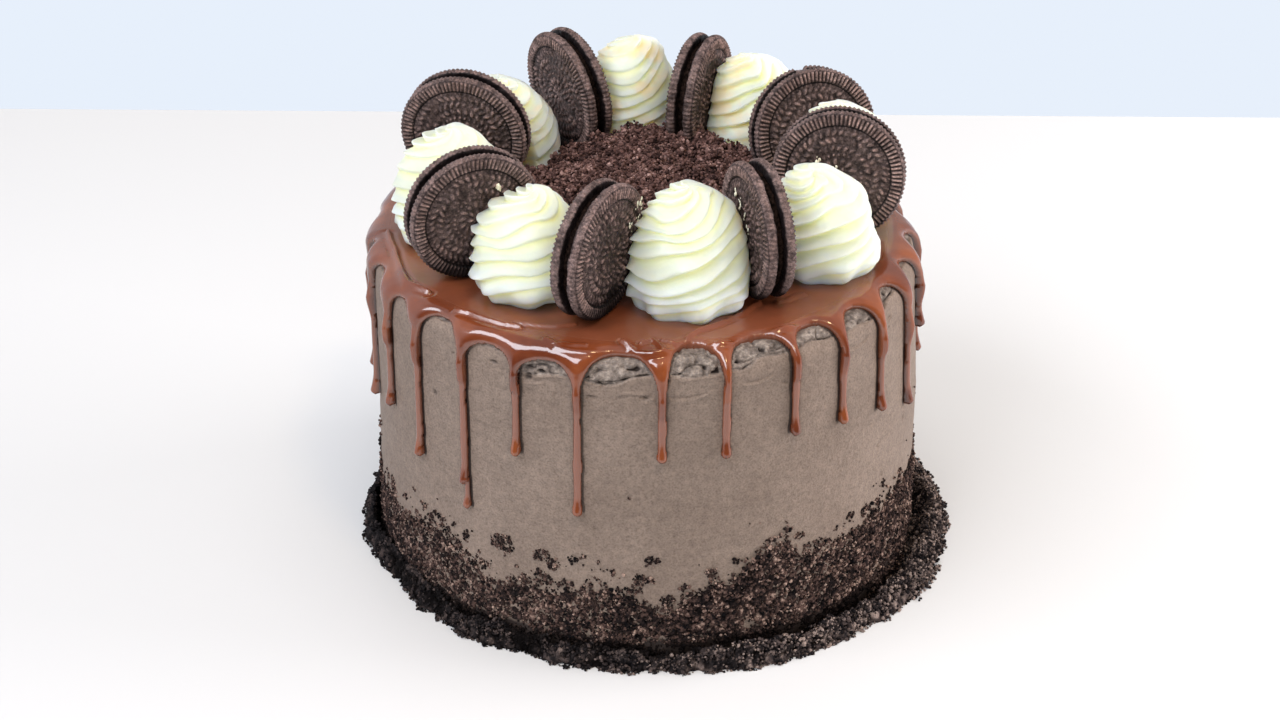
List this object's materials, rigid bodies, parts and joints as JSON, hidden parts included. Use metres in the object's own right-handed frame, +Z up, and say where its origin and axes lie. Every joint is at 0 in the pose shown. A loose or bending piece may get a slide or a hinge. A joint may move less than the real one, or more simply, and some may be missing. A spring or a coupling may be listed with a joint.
{
  "type": "decorated layer cake",
  "caption": "Round layer cake with a frosted side, dripping glaze, piped cream swirls, upright sandwich cookies and crumbs; stands on its flat base.",
  "frame": {"origin": "centre of the cake's flat base, on the surface it stands on", "axes": "+Z up along the cake's axis; -Y towards the front, the side that the picture shows; +X to the right seen from the front"},
  "size_m": [0.2115, 0.1996, 0.1613],
  "materials": {
    "frosting": "matte cocoa buttercream, scraped smooth",
    "glaze": "glossy poured chocolate glaze",
    "wafer": "dark baked cocoa wafer, matte, embossed",
    "filling": "dark chocolate cream",
    "cream": "soft ivory whipped cream, satin",
    "crumbs": "dry dark cookie crumbs"
  },
  "bodies": {
    "root": {"cake_body": "frosting", "glaze": "glaze", "cookie_1_right": "wafer", "cookie_1_filling": "filling", "cookie_1_left": "wafer", "cookie_2_right": "wafer", "cookie_2_filling": "filling", "cookie_2_left": "wafer", "cookie_3_right": "wafer", "cookie_3_filling": "filling", "cookie_3_left": "wafer", "cookie_4_right": "wafer", "cookie_4_filling": "filling", "cookie_4_left": "wafer", "cookie_5_right": "wafer", "cookie_5_filling": "filling", "cookie_5_left": "wafer", "cookie_6_right": "wafer", "cookie_6_filling": "filling", "cookie_6_left": "wafer", "cookie_7_right": "wafer", "cookie_7_filling": "filling", "cookie_7_left": "wafer", "cookie_8_right": "wafer", "cookie_8_filling": "filling", "cookie_8_left": "wafer", "swirl_1": "cream", "swirl_2": "cream", "swirl_3": "cream", "swirl_4": "cream", "swirl_5": "cream", "swirl_6": "cream", "swirl_7": "cream", "swirl_8": "cream", "crumb_mound": "crumbs", "crumb_skirt": "crumbs"}
  },
  "joints": []
}
